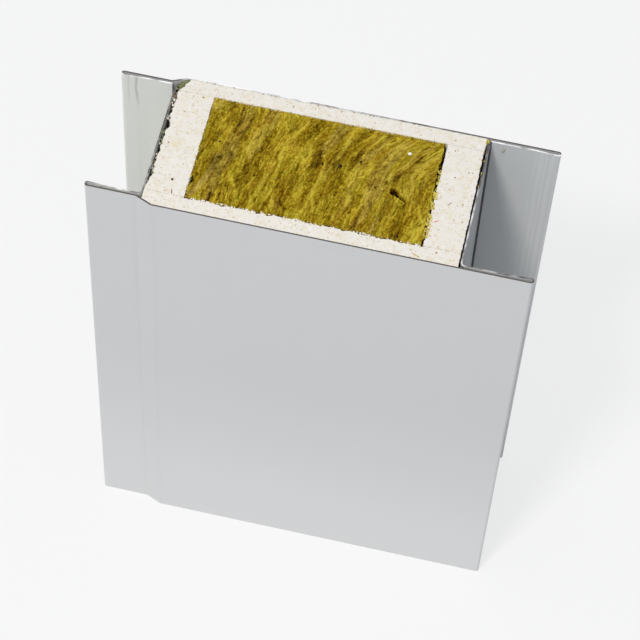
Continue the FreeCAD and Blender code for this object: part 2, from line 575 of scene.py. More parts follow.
def grown(name, start_mesh, tree, values):
    """Plain mesh object from a geometry node tree that works on a start mesh."""
    source = add_object(name + "_start", start_mesh)
    modifier = source.modifiers.new("growth", "NODES")
    modifier.node_group = tree
    for item in tree.interface.items_tree:
        if item.item_type == "SOCKET" and item.in_out == "INPUT" and item.name in values:
            modifier[item.identifier] = values[item.name]
    mesh = baked(source)
    source.modifiers.remove(modifier)
    bpy.data.objects.remove(source)
    mesh.name = name
    return add_object(name, mesh)


def named_value(tree, name, kind="FLOAT"):
    """Value that the start mesh carries at each point."""
    return add_node(tree, "GeometryNodeInputNamedAttribute", {"Name": name}, data_type=kind).outputs[0]


def finish_tree(tree, geometry, material, result):
    """Ends a tree in real geometry with its material, pressed flat at the level that the panel stands on."""
    real = add_node(tree, "GeometryNodeRealizeInstances", {0: geometry})
    parts = parts_of(tree, add_node(tree, "GeometryNodeInputPosition").outputs[0])
    pressed = vector_of(tree, parts[0], parts[1], calculate(tree, "MAXIMUM", parts[2], 0.0))
    placed = add_node(tree, "GeometryNodeSetPosition", {0: real.outputs[0], "Position": pressed})
    done = add_node(tree, "GeometryNodeSetMaterial", {0: placed.outputs[0], "Material": material})
    tree.links.new(done.outputs[0], result[0])


def build_roll_formed_sheet():
    """Tree that sweeps a strip of sheet along its bent middle line."""
    inputs = {
        "Middle Line": (GEOMETRY, None),
        "Section Height": (FLOAT, 0.1),
        "Sheet Thickness": (FLOAT, 0.001),
        "Bend Steps": (INTEGER, 8),
        "Coat": (MATERIAL, None),
        "Cut Edge": (MATERIAL, None),
    }
    tree, given, result = new_group("roll_formed_sheet", "GeometryNodeTree", inputs, {"Sheet": GEOMETRY})
    line = add_node(tree, "GeometryNodeMeshToCurve", {0: given["Middle Line"]})
    level = add_node(tree, "GeometryNodeSetCurveNormal", {0: line.outputs[0]}, mode="Z_UP")
    settings = {
        "Curve": level.outputs[0],
        "Count": given["Bend Steps"],
        "Radius": named_value(tree, "bend_radius"),
        "Limit Radius": True,
    }
    bent = add_node(tree, "GeometryNodeFilletCurve", settings, mode="POLY")
    settings = {"Width": given["Sheet Thickness"], "Height": given["Section Height"]}
    strip = add_node(tree, "GeometryNodeCurvePrimitiveQuadrilateral", settings)
    settings = {"Curve": bent.outputs[0], "Profile Curve": strip.outputs[0], "Fill Caps": True}
    sheet = add_node(tree, "GeometryNodeCurveToMesh", settings)
    rise = vector_of(tree, z=product(tree, given["Section Height"], 0.5))
    stood = add_node(tree, "GeometryNodeTransform", {0: sheet.outputs[0], "Translation": rise})
    real = add_node(tree, "GeometryNodeRealizeInstances", {0: stood.outputs[0]})
    coated = add_node(tree, "GeometryNodeSetMaterial", {0: real.outputs[0], "Material": given["Coat"]})
    upward = parts_of(tree, add_node(tree, "GeometryNodeInputNormal").outputs[0])[2]
    is_end = calculate(tree, "GREATER_THAN", calculate(tree, "ABSOLUTE", upward), 0.7)
    settings = {0: coated.outputs[0], "Selection": is_end, "Material": given["Cut Edge"]}
    sawn = add_node(tree, "GeometryNodeSetMaterial", settings)
    tree.links.new(sawn.outputs[0], result["Sheet"])
    return tree


def carry(mesh, name, kind, field, values):
    """Gives each point of a mesh a named value."""
    mesh.attributes.new(name, kind, "POINT").data.foreach_set(field, values)


def middle_line(name, corners):
    """Mesh of the (x, y, bend radius, layer and painted light, edge shine) corners of a sheet's middle line.
    """
    mesh = bpy.data.meshes.new(name)
    edges = [(index, index + 1) for index in range(len(corners) - 1)]
    mesh.from_pydata([(corner[0], corner[1], 0.0) for corner in corners], edges, [])
    for column, value in enumerate(("bend_radius", "layer_and_painted_light", "edge_shine"), 2):
        carry(mesh, value, "FLOAT", "value", [corner[column] for corner in corners])
    return mesh


def hemmed_face(face, inward, hem_shine, tip_shine, face_shine):
    """Corners of a face sheet between its two hems, from the female to the male side."""
    female_fold = female_tip - half_sheet
    male_fold = male_tip + half_sheet
    male_flange = face + inward * joggle_depth
    return [
        (female_fold - loop_length, face + inward * hem_pitch, middle_bend, female_tone, hem_shine),
        (female_fold, face + inward * loop_pitch, middle_fold, female_tone, tip_shine),
        (female_fold, face, middle_fold, outer_tone, 0.0),
        (core_right, face, 0.0, outer_tone, 0.0),
        (joggle_start + 2 * bend_radius, face, 0.0, outer_tone, face_shine),
        (joggle_start, face, middle_bend, joggle_painted_shade, face_shine),
        (joggle_start - joggle_run, male_flange, middle_bend, joggle_painted_shade, 0.0),
        (joggle_start - joggle_run - 2 * bend_radius, male_flange, 0.0, outer_tone, 0.0),
        (male_fold, male_flange, middle_fold, outer_tone, 0.0),
        (male_fold, male_flange + inward * loop_pitch, middle_fold, male_painted_light, tip_shine),
        (male_fold + loop_length, male_flange + inward * hem_pitch, middle_bend, male_painted_light, hem_shine),
    ]


def front_line():
    """Corners of the front sheet, with its side returns."""
    face = hemmed_face(half_sheet - outer_face, 1, hem_shine=0.36, tip_shine=0.27, face_shine=0.0)
    female_side = female_return - half_sheet
    male_side = male_return + half_sheet
    female_root = [
        (female_side, return_edge, 0.0, return_painted_shade, 0.12),
        (female_side, face[0][1], middle_bend, return_painted_shade, 0.50),
        (female_side + 3 * bend_radius, face[0][1], 0.0, female_tone, 0.45),
    ]
    male_root = [
        (male_side, face[-1][1], middle_bend, male_painted_light, 0.35),
        (male_side, return_edge - joggle_depth, 0.0, male_painted_light, 0.12),
    ]
    return female_root + face + male_root


def back_line():
    """Corners of the back sheet, whose hems end beside the side returns."""
    hem_shine = 0.75
    face = hemmed_face(outer_face - half_sheet, -1, hem_shine, tip_shine=hem_shine, face_shine=1.0)
    female_end = (female_return + female_hem_gap, face[0][1], 0.0, female_tone, hem_shine)
    male_end = (male_return - male_hem_gap, face[-1][1], 0.0, male_painted_light, hem_shine)
    return [female_end] + face + [male_end]


def smooth_by_angle(piece, degrees):
    """Smooth shading that keeps the flat faces flat and the edges past an angle sharp."""
    piece.data.shade_smooth()
    piece.data.set_sharp_from_angle(angle=math.radians(degrees))
    modifier = piece.modifiers.new("flat faces", "WEIGHTED_NORMAL")
    modifier.keep_sharp = True
    mesh = baked(piece)
    piece.modifiers.remove(modifier)
    piece.data = mesh


roll_formed_sheet = build_roll_formed_sheet()
sheet_values = {
    "Section Height": section_height,
    "Sheet Thickness": sheet_thickness,
    "Bend Steps": bend_steps,
    "Coat": coil_coat,
    "Cut Edge": cut_steel,
}
for sheet_name, corners in (("front_face_sheet", front_line()), ("back_face_sheet", back_line())):
    line_mesh = middle_line(sheet_name + "_line", corners)
    sheet = grown(sheet_name + "_skin", line_mesh, roll_formed_sheet, sheet_values)
    smooth_by_angle(sheet, 30)
    seat(sheet, "coated_steel", sheet_name)


def wander(along, pitch, seed):
    """Smooth random value between -1 and 1 along a line."""
    return noise.noise(Vector((along / pitch, seed, 0.5)))


def ripple(x, y, pitch, seed):
    """Smooth random value between -1 and 1 over a face."""
    return noise.noise(Vector((x / pitch, y / pitch, seed)))


def eased(share):
    """Share from nought to one with a soft start and end."""
    return share * share * (3 - 2 * share)


def bump(value, centre, reach):
    """Smooth rise to one at a centre, gone past its reach."""
    return eased(1.0 - min(1.0, abs(value - centre) / reach))


def step_up(value, start, end):
    """Smooth change from nought to one between two places."""
    return eased(min(1.0, max(0.0, (value - start) / (end - start))))


# Depth below a cut end at which the core's walls run straight, and the levels of wall on the way there
ragged_depth = 8.0 * MM
wall_depths = (0.4 * MM, 1.0 * MM, 2.2 * MM, 4.5 * MM, ragged_depth)


def fade(depth):
    """How much of the raggedness is left at a depth below the cut end."""
    return max(0.0, 1.0 - depth / ragged_depth)


def fitted(x, y, low, high, left, right, front, back):
    """Place of a plain box moved to the same share of an uneven outline."""
    share_x = (x - low.x) / (high.x - low.x)
    share_y = (y - low.y) / (high.y - low.y)
    return left + (right - left) * share_x, front + (back - front) * share_y


def cut_block(name, low, high, pitch, outline, drop, material, marks):
    """Block between two cut ends. outline moves a point of a cut end, drop lowers it and gives its marks."""
    columns = round((high.x - low.x) / pitch)
    rows = round((high.y - low.y) / pitch)
    verts = []
    faces = []
    values = {mark: [] for mark in marks}

    def put(column, row, depth, end):
        x = low.x + (high.x - low.x) * column / columns
        y = low.y + (high.y - low.y) * row / rows
        x, y = outline(x, y, depth, end)
        fall, carried = drop(x, y, depth, end)
        fall = max(depth, fall + 0.2 * depth)
        verts.append((x, y, high.z - fall if end > 0 else low.z + fall))
        for mark, value in zip(marks, carried):
            values[mark].append(value)
        return len(verts) - 1

    edge = [(column, 0) for column in range(columns)]
    edge += [(columns, row) for row in range(rows)]
    edge += [(column, rows) for column in range(columns, 0, -1)]
    edge += [(0, row) for row in range(rows, 0, -1)]
    rings = []
    for end in (1, -1):
        grid = [[put(column, row, 0.0, end) for row in range(rows + 1)] for column in range(columns + 1)]
        for left, right in zip(grid, grid[1:]):
            for row in range(rows):
                quad = (left[row], right[row], right[row + 1], left[row + 1])
                faces.append(quad[::end])
        ladder = [[grid[column][row] for column, row in edge]]
        ladder += [[put(column, row, depth, end) for column, row in edge] for depth in wall_depths]
        rings += ladder[::end]
    for upper, lower in zip(rings, rings[1:]):
        for index in range(len(edge)):
            after = (index + 1) % len(edge)
            faces.append((upper[index], lower[index], lower[after], upper[after]))
    mesh = bpy.data.meshes.new(name)
    mesh.from_pydata(verts, [], faces)
    for mark in marks:
        carry(mesh, mark, "FLOAT", "value", values[mark])
    mesh.materials.append(material)
    mesh.shade_smooth()
    mesh.set_sharp_from_angle(angle=math.radians(60))
    return add_object(name, mesh)


# Mesh pitch of the cut boards and of the cut wool, and the depth of the boards' pores
board_pitch = 0.3 * MM
wool_pitch = 0.32 * MM
pore_depth = 0.9 * MM

# Resin stains on the top cut ends of the boards: place and reach, in millimetres
resin_stains = (
    (-47.0, -1.3, 2.2), (-45.6, -0.4, 1.6), (-41.2, 4.9, 1.0), (-42.6, 18.7, 0.8), (40.9, -7.1, 1.1),
    (44.8, -8.1, 0.9), (45.1, -24.1, 0.8), (33.2, -23.4, 0.9), (-40.2, 9.5, 0.7), (46.7, 22.6, 1.3),
)


def chip(distance, along, reach, share, seed):
    """Depth of a scooped chip at a distance from an edge, at a place along it."""
    wave = 0.65 * wander(along, 1.1 * MM, seed) + 0.35 * wander(along, 0.45 * MM, seed + 0.7)
    radius = reach * max(0.0, wave - 1.0 + 2 * share)
    distance = max(0.0, distance)
    if distance >= radius:
        return 0.0
    return math.sqrt(radius * radius - distance * distance)


def ragged(along, reach, seed, coarse=1.6 * MM):
    """Inward wander of a broken edge, never outward."""
    wave = 0.55 * wander(along, coarse, seed) + 0.45 * wander(along, coarse / 3, seed + 0.4)
    return reach * max(0.0, 0.45 + 1.2 * wave)


def board_face_drop(x, y, end):
    """Shallow unevenness, grain and pores of a sawn board."""
    rough = 0.03 * MM * ripple(x, y, 0.45 * MM, 3.1 * end) + 0.05 * MM * ripple(x, y, 2.3 * MM, 5.7 * end)
    pore = max(0.0, ripple(x, y, 0.8 * MM, 9.9 * end) - 0.55) * pore_depth
    return 0.09 * MM + rough + pore


def resin_at(x, y, end):
    """How much resin a place on a board has soaked up."""
    if end < 0:
        return 0.35 * max(0.0, ripple(x, y, 9.0 * MM, 77.0) - 0.35)
    stain = 0.0
    for place_x, place_y, reach in resin_stains:
        gap = math.hypot(x - place_x * MM, y - place_y * MM) / (reach * MM)
        gap += 0.5 * ripple(x, y, 0.9 * MM, 31.0)
        stain = max(stain, 0.45 * (1.0 - step_up(gap, 0.3, 1.1)))
    return stain


def painted_gap_shade_at(x, depth):
    """How much painted shade darkens the core's outer sides below the cut end, in the gaps beside the side
    returns.
    """
    outer = x < core_left + 3.0 * MM or x > core_right - 1.0 * MM
    return 0.85 * step_up(depth, 0.3 * MM, 1.6 * MM) if outer else 0.0


male_edge_gap = core_left - (male_return + sheet_thickness)


def male_edge(y, depth, end, seed):
    """Broken male edge of the core: it reaches the side return at the front and crumbles towards the back."""
    touching = 1.0 - step_up(y, -18.5 * MM, -14.0 * MM)
    crumbled = 1.0 - touching
    inset = crumbled * (0.15 * MM + ragged(y, 1.0 * MM, seed + end, 2.6 * MM))
    return core_left - touching * 0.85 * male_edge_gap + fade(depth) * inset


def female_edge(y, depth, end, seed):
    """Sawn female edge of the core, with a gap to the side return that widens to the back."""
    widening = 0.25 * MM * step_up(y, -5.0 * MM, 16.0 * MM) * (1.0 - step_up(y, 19.0 * MM, 22.0 * MM))
    return core_right - fade(depth) * (0.08 * MM + widening + ragged(y, 0.35 * MM, seed + end, 1.1 * MM))


def relief_line(x):
    """Outer face of a board, cut back beside the joggle of its sheet."""
    start = joggle_start + 0.3 * MM
    return board_face - max(0.0, start - x) * joggle_depth / joggle_run


def broken_corner(y, depth, end):
    """Inset of the back board's male corner, which has broken off at the top."""
    share = (y - board_seam) / (board_face - board_seam)
    return fade(depth) * (0.2 * MM + 2.4 * MM * share ** 1.3) if end > 0 else 0.0


def over_wool(x):
    """One where a board runs along the wool, and nought along the strips."""
    change = 0.3 * MM
    male_side = step_up(x, wool_low.x - change, wool_low.x)
    female_side = step_up(-x, -wool_high.x - change, -wool_high.x)
    return male_side * female_side


def seat_board(name, node, outline, drop):
    """Finishes a board or strip with its stains and seats it in place of its solid."""
    low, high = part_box(node)
    piece = cut_block(name, low, high, board_pitch, outline, drop, magnesium_board, ("resin", "painted_gap_shade"))
    seat(piece, "magnesium_board", node)


def make_board(name, node, side):
    """Board behind a face sheet; side is -1 at the front and 1 at the back."""
    seed = 20.0 + 9 * side
    wool_tear = 0.60 if side < 0 else 0.02
    wool_chip = 0.5 if side < 0 else 0.1
    sheet_chip = 0.25 if side < 0 else 0.55

    def outline(x, y, depth, end):
        share = (abs(y) - board_seam) / (board_face - board_seam)
        left = male_edge(y, depth, end, seed)
        if side > 0:
            left += broken_corner(y, depth, end)
        right = female_edge(y, depth, end, seed + 3)
        x = left + (right - left) * (x - core_left) / (core_right - core_left)
        torn = (0.08 + wool_tear * over_wool(x)) * MM
        inner = board_seam + fade(depth) * (0.02 * MM + ragged(x, torn, seed + end + 5))
        outer = relief_line(x) - fade(depth) * ragged(x, 0.08 * MM, seed + end + 7)
        return x, side * (inner + (outer - inner) * share)

    def drop(x, y, depth, end):
        inner_chip = wool_chip if wool_low.x < x < wool_high.x else 0.1
        fall = board_face_drop(x, y, end)
        fall += chip(x - core_left, y, 0.6 * MM, 0.5, seed + end)
        fall += chip(core_right - x, y, 0.4 * MM, 0.5, seed + end + 1)
        fall += chip(abs(y) - board_seam, x, inner_chip * MM, 0.42, seed + end + 2)
        fall += chip(relief_line(x) - abs(y), x, sheet_chip * MM, 0.42, seed + end + 4)
        return fall, (resin_at(x, y, end), painted_gap_shade_at(x, depth))

    seat_board(name, node, outline, drop)


def make_strip(name, node, side):
    """Strip between the boards; side is -1 at the male edge and 1 at the female edge."""
    low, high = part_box(node)
    seed = 40.0 + 9 * side
    female_chip = 0.35 if side < 0 else 0.5

    def outline(x, y, depth, end):
        if side < 0:
            left = male_edge(y, depth, end, seed)
            right = high.x - fade(depth) * ragged(y, 0.18 * MM, seed + end + 3)
        else:
            left = low.x + fade(depth) * ragged(y, 0.35 * MM, seed + end + 3)
            right = female_edge(y, depth, end, seed)
        front = low.y + fade(depth) * (0.02 * MM + ragged(x, 0.10 * MM, seed + end + 5))
        back = high.y - fade(depth) * (0.02 * MM + ragged(x, 0.10 * MM, seed + end + 7))
        return fitted(x, y, low, high, left, right, front, back)

    def drop(x, y, depth, end):
        fall = board_face_drop(x, y, end)
        fall += chip(x - low.x, y, 0.6 * MM, 0.45, seed + end)
        fall += chip(high.x - x, y, female_chip * MM, 0.45, seed + end + 1)
        fall += chip(min(y - low.y, high.y - y), x, 0.14 * MM, 0.4, seed + end + 2)
        return fall, (resin_at(x, y, end), painted_gap_shade_at(x, depth))

    seat_board(name, node, outline, drop)


make_board("front_core_board", "front_board", -1)
make_board("back_core_board", "back_board", 1)
make_strip("left_core_strip", "left_edge_strip", -1)
make_strip("right_core_strip", "right_edge_strip", 1)


def wool_grain(x, y, end):
    """Place across and along the tufts, which lean and wander over the cut face."""
    across = x * math.cos(wool_lean) - y * math.sin(wool_lean)
    along = y * math.cos(wool_lean) + x * math.sin(wool_lean)
    across += 0.7 * MM * ripple(x, y, 9.0 * MM, 1.0 * end) + 1.2 * MM * ripple(x, y, 26.0 * MM, 2.0 * end)
    across -= wool_fan * max(0.0, x + 14.0 * MM) * max(0.0, y - 4.0 * MM)
    return across, along


def wool_heading(x, y, end):
    """Angle at which the tufts run at a place."""
    small = 0.2 * MM
    slope_x = wool_grain(x + small, y, end)[0] - wool_grain(x - small, y, end)[0]
    slope_y = wool_grain(x, y + small, end)[0] - wool_grain(x, y - small, end)[0]
    return math.atan2(slope_x, -slope_y)


def tufts(across, along, width, length, seed):
    """Random height of tufts of a width and a length, between -1 and 1."""
    return noise.noise(Vector((across / width, along / length, seed)))


# Pressed layers of the wool: width and length on the cut face
ribbon_width = 3.2 * MM
ribbon_length = 20.0 * MM

# Torn slot in the wool's top: its two ends and its half width
slot_start = Vector((22.2, -1.8)) * MM
slot_end = Vector((26.1, -4.4)) * MM
slot_reach = 1.4 * MM

# Folds that stand up from the wool's top and creases that sink into it: half width in millimetres, rise,
# and the line that each follows
wool_folds = (
    (0.9, 0.9, (-19.8, -18.9), (-17.5, -9.1), (-13.2, 8.8), (-8.4, 17.6)),
    (1.7, 0.4, (-27.8, -9.8), (-25.2, -0.7), (-21.8, 18.5)),
    (1.1, 0.6, (15.5, 18.6), (11.6, 13.1), (9.4, 5.3), (9.3, -10.1)),
    (1.9, 0.3, (32.0, 18.8), (28.8, 6.3), (27.0, -3.1)),
    (1.1, 0.6, (-1.0, 6.0), (-0.6, -0.4), (-2.0, -8.4), (-1.3, -13.0)),
    (1.0, 0.6, (-0.3, 19.3), (-1.7, 9.1)),
    (1.5, 0.3, (26.0, -0.8), (23.1, -11.7), (21.2, -19.7)),
    (1.2, 0.5, (-27.9, -7.2), (-24.6, -14.1)),
    (1.5, -0.5, (-22.9, -6.0), (-20.7, 2.3), (-18.7, 12.0)),
    (0.9, -0.5, (5.2, -0.9), (4.9, -13.7)),
    (0.9, -0.6, (13.6, -10.9), (12.9, -17.4)),
    (0.8, -0.9, (-14.4, -15.4), (-12.5, -19.3)),
    (0.8, -0.9, (-31.5, -15.8), (-32.1, -19.8)),
    (0.6, 0.8, (30.5, -4.8), (32.3, -10.0), (33.8, -12.9)),
    (1.7, -0.5, (27.5, 13.0), (25.0, 7.5), (21.5, 2.5)),
    (1.3, -0.2, (2.7, 12.8), (2.3, 2.9), (4.5, -16.4)),
    (0.7, -1.0, (-28.8, 7.5), (-26.5, 11.4)),
    (0.7, -1.0, (-8.4, -2.0), (-8.2, 1.2)),
    (4.5, 0.5, (-6.6, 7.0), (-5.8, -18.0)),
    (4.0, -0.3, (1.8, 17.0), (0.9, -14.0)),
    (4.0, -0.35, (14.5, 0.0), (22.0, -1.0)),
    (3.5, 0.3, (-27.6, 1.0), (-26.4, -16.0)),
    (3.6, 0.5, (-35.6, 17.0), (-33.4, 10.0)),
    (3.2, 0.4, (-13.2, -12.0), (-12.4, -17.0)),
)

# Pale brown bundle in the corner of the wool's top
brown_bundle = ((-37.9, -17.4), (-35.3, -12.9), (-33.4, -6.0), (-32.9, -1.4))
bundle_reach = 1.5 * MM


def line_gap(x, y, start, end):
    """Distance of a place from a straight line, and the share of the line up to its nearest point."""
    here = Vector((x, y)) - start
    run = end - start
    share = min(1.0, max(0.0, here.dot(run) / run.length_squared))
    return (here - run * share).length, share


def path_gap(x, y, path):
    """Distance of a place from a path through points in millimetres."""
    points = [Vector(point) * MM for point in path]
    return min(line_gap(x, y, start, end)[0] for start, end in zip(points, points[1:]))


def wool_slot(x, y):
    """How deep a place lies in the torn slot, from nought to one."""
    gap, share = line_gap(x, y, slot_start, slot_end)
    reach = slot_reach * (1.0 - 0.75 * share ** 0.6) * (1.0 + 0.4 * ripple(x, y, 0.8 * MM, 51.0))
    return (1.0 - step_up(gap, 0.55 * reach, reach)) * (1.0 - 0.4 * share)


def wool_fold(x, y):
    """Rise of the folds and creases at a place on the wool's top."""
    fray = 1.0 + 0.45 * ripple(x, y, 1.1 * MM, 71.0) + 0.3 * ripple(x, y, 0.45 * MM, 73.0)
    rise = 0.0
    for half_width, height, *path in wool_folds:
        gap = path_gap(x, y, path) * fray
        rise += height * (1.0 - step_up(gap, 0.15 * half_width * MM, half_width * MM))
    return rise


def wool_ribbon(x, y, end):
    """Tone and dullness of the pressed layer of wool at a place, and the distance to the next layer."""
    across, along = wool_grain(x, y, end)
    for reach, pitch, seed in ((1.3, 6.0, 15.0), (0.5, 1.6, 17.0), (0.2, 0.5, 19.0)):
        across += reach * MM * ripple(x, y, pitch * MM, seed * end)
    distances, centres = noise.voronoi(Vector((across / ribbon_width, along / ribbon_length, 3.7 * end)))
    tone = max(-1.0, min(1.0, 1.8 * noise.noise(centres[0] * 9.1)))
    dullness = step_up(noise.noise(centres[0] * 5.3 + Vector((3.3, 7.1, 1.9))), 0.10, 0.40)
    return tone, dullness, distances[1] - distances[0]


def wool_relief(x, y, end):
    """Fall of the torn cut face below the cut end, the tone of its tufts with painted light and shade, and
    their dullness.
    """
    across, along = wool_grain(x, y, end)
    clumps = tufts(across, along, 5.0 * MM, 22.0 * MM, 3.0 * end)
    strands = tufts(across, along, 1.8 * MM, 6.0 * MM, 5.0 * end)
    threads = tufts(across, along, 0.8 * MM, 2.0 * MM, 8.0 * end)
    crumbs = ripple(x, y, 0.65 * MM, 11.0 * end)
    tone, dullness, seam = wool_ribbon(x, y, end)
    crease = 1.0 - step_up(seam, 0.0, 0.14)
    slit = step_up(tufts(across, along, 1.0 * MM, 2.8 * MM, 13.0 * end), 0.36, 0.56)
    ridge = step_up(tufts(across, along, 1.0 * MM, 7.5 * MM, 23.0 * end), 0.30, 0.52)
    slot = wool_slot(x, y) if end > 0 else 0.0
    fold = wool_fold(x, y) if end > 0 else 0.0
    if end > 0:
        bundle = path_gap(x, y, brown_bundle) * (1.0 + 0.5 * ripple(x, y, 0.9 * MM, 75.0))
        dullness = max(dullness, 1.6 * (1.0 - step_up(bundle, 0.5 * bundle_reach, bundle_reach)))
    height = 0.28 * clumps + 0.16 * tone + 0.22 * strands + 0.14 * threads + 0.16 * crumbs
    height += 0.22 * ridge + 0.30 * fold - 0.20 * crease - 0.35 * slit
    # Tone and painted light: tufts, ridges and folds lighter, creases, slits and the torn slot darker as
    # painted shade
    tone_and_painted_light = 0.62 + 0.22 * clumps + 0.30 * tone + 0.26 * strands + 0.24 * threads + 0.28 * crumbs
    tone_and_painted_light += 0.42 * ridge + 1.20 * fold - 0.28 * crease - 0.70 * slit
    tone_and_painted_light = min(1.6, max(-0.6, tone_and_painted_light)) - 3.5 * slot
    return max(0.05 * MM, (0.50 - height) * MM) + 3.0 * MM * slot, tone_and_painted_light, dullness


def make_wool():
    """Wool block with a torn, tufted cut face that shrinks from the boards in places."""
    low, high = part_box("wool_core")

    def outline(x, y, depth, end):
        slack = bump(y, -12.4 * MM, 2.6 * MM) * (1.5 * MM if end > 0 else 0.0)
        left = low.x + fade(depth) * (ragged(y, 0.08 * MM, 60.0 + end) + slack)
        gap = 0.35 * MM + 0.35 * MM * bump(y, 9.0 * MM, 10.0 * MM)
        right = high.x - fade(depth) * (gap + ragged(y, 0.7 * MM, 63.0 + end, 2.4 * MM))
        front = low.y + fade(depth) * ragged(x, 0.45 * MM, 65.0 + end, 2.0 * MM)
        back = high.y - fade(depth) * ragged(x, 0.05 * MM, 67.0 + end)
        return fitted(x, y, low, high, left, right, front, back)

    def drop(x, y, depth, end):
        fall, tone_and_painted_light, dullness = wool_relief(x, y, end)
        # Painted shade: darker beside the female rim and down the walls below the cut end
        rim = high.x - x
        shade = 1.0 - 0.35 * (1.0 - step_up(rim, 0.2 * MM, 1.0 * MM))
        wall_painted_shade = 2.0 if x > high.x - 2.0 * MM else 0.9
        tone_and_painted_light = tone_and_painted_light * shade - wall_painted_shade * min(1.0, depth / (2.5 * MM))
        gap = line_gap(x, y, slot_start, slot_end)[0] if end > 0 else section_height
        return fall, (tone_and_painted_light, dullness, gap, wool_heading(x, y, end), *wool_grain(x, y, end))

    marks = ("tone_and_painted_light", "dullness", "slot_gap", "heading", "across", "along")
    piece = cut_block("wool_block", low, high, wool_pitch, outline, drop, mineral_wool, marks)
    seat(piece, "mineral_wool", "wool_core")
    return piece


wool_block = make_wool()


def build_loose_fibres():
    """Tree that lays bowed fibres along the tufts of a torn face."""
    inputs = {
        "Surface": (GEOMETRY, None),
        "Facing": (FLOAT, 1.0),
        "Density": (FLOAT, 1000.0),
        "Shortest": (FLOAT, 0.001),
        "Longest": (FLOAT, 0.004),
        "Slimness": (FLOAT, 0.03),
        "Stray": (FLOAT, 0.5),
        "Seed": (INTEGER, 1),
        "Material": (MATERIAL, None),
    }
    tree, given, result = new_group("loose_fibres", "GeometryNodeTree", inputs, {"Fibres": GEOMETRY})
    seed = given["Seed"]

    def draw(low, high, offset):
        settings = {2: low, 3: high, "Seed": calculate(tree, "ADD", seed, float(offset))}
        return add_node(tree, "FunctionNodeRandomValue", settings, data_type="FLOAT").outputs[1]

    upward = parts_of(tree, add_node(tree, "GeometryNodeInputNormal").outputs[0])[2]
    is_face = calculate(tree, "GREATER_THAN", product(tree, upward, given["Facing"]), 0.4)
    is_raised = calculate(tree, "GREATER_THAN", named_value(tree, "tone_and_painted_light"), 0.0)
    half_longest = product(tree, given["Longest"], 0.5)
    is_clear = calculate(tree, "GREATER_THAN", named_value(tree, "slot_gap"), half_longest)
    chosen = product(tree, is_face, is_raised, is_clear)
    settings = {"Mesh": given["Surface"], "Selection": chosen, "Density": given["Density"], "Seed": seed}
    spots = add_node(tree, "GeometryNodeDistributePointsOnFaces", settings)
    shapes = []
    settings = {"Resolution": 3, "Radius": given["Slimness"]}
    ring = add_node(tree, "GeometryNodeCurvePrimitiveCircle", settings)
    for bow, rise in ((0.10, 0.05), (-0.16, 0.10), (0.24, 0.03), (-0.05, 0.16)):
        settings = {
            "Resolution": 5,
            "Start": (-0.5, 0.0, -0.03),
            "Middle": (0.0, bow, rise),
            "End": (0.5, 0.0, -0.03),
        }
        path = add_node(tree, "GeometryNodeCurveQuadraticBezier", settings)
        settings = {"Curve": path.outputs[0], "Profile Curve": ring.outputs[0], "Fill Caps": True}
        tube = add_node(tree, "GeometryNodeCurveToMesh", settings)
        smooth = add_node(tree, "GeometryNodeSetShadeSmooth", {0: tube.outputs[0]})
        shapes.append(add_node(tree, "GeometryNodeGeometryToInstance", {0: smooth.outputs[0]}).outputs[0])
    choice = add_node(tree, "GeometryNodeJoinGeometry")
    for shape in shapes:
        tree.links.new(shape, choice.inputs[0])
    stray = product(tree, draw(-1.0, 1.0, 1), given["Stray"])
    heading = calculate(tree, "ADD", named_value(tree, "heading"), stray)
    lean = product(tree, given["Facing"], draw(-0.16, 0.16, 2))
    flip = remap(tree, given["Facing"], -1.0, 1.0, math.pi, 0.0)
    turn = add_node(tree, "FunctionNodeEulerToRotation", {0: vector_of(tree, flip, lean, heading)})
    settings = {4: 0, 5: len(shapes) - 1, "Seed": seed}
    pick = add_node(tree, "FunctionNodeRandomValue", settings, data_type="INT")
    size = remap(tree, draw(0.0, 1.0, 3), 0.0, 1.0, given["Shortest"], given["Longest"])
    settings = {
        "Points": spots.outputs[0],
        "Instance": choice.outputs[0],
        "Pick Instance": True,
        "Instance Index": pick.outputs[2],
        "Rotation": turn.outputs[0],
        "Scale": size,
    }
    laid = add_node(tree, "GeometryNodeInstanceOnPoints", settings)
    settings = {0: laid.outputs[0], "Name": "fibre_tone", "Value": draw(0.0, 1.0, 4)}
    tinted = add_node(tree, "GeometryNodeStoreNamedAttribute", settings, data_type="FLOAT", domain="INSTANCE")
    finish_tree(tree, tinted.outputs[0], given["Material"], result)
    return tree


loose_fibres = build_loose_fibres()
short_fibres = {"Shortest": 0.5 * MM, "Longest": 2.4 * MM, "Slimness": 0.028, "Stray": 0.65}
long_wisps = {"Shortest": 2.5 * MM, "Longest": 7.0 * MM, "Slimness": 0.012, "Stray": 0.3}
for fibre_name, fibre_shape, facing, density, seed in (
    ("top_wool_fibres", short_fibres, 1.0, 1.4e6, 5),
    ("top_wool_wisps", long_wisps, 1.0, 1.4e5, 7),
    ("bottom_wool_fibres", short_fibres, -1.0, 0.7e6, 6),
    ("bottom_wool_wisps", long_wisps, -1.0, 1.0e5, 8),
):
    laying = {"Facing": facing, "Density": density, "Seed": seed, "Material": wool_fibre}
    seat(grown(fibre_name, wool_block.data.copy(), loose_fibres, fibre_shape | laying), "mineral_wool")


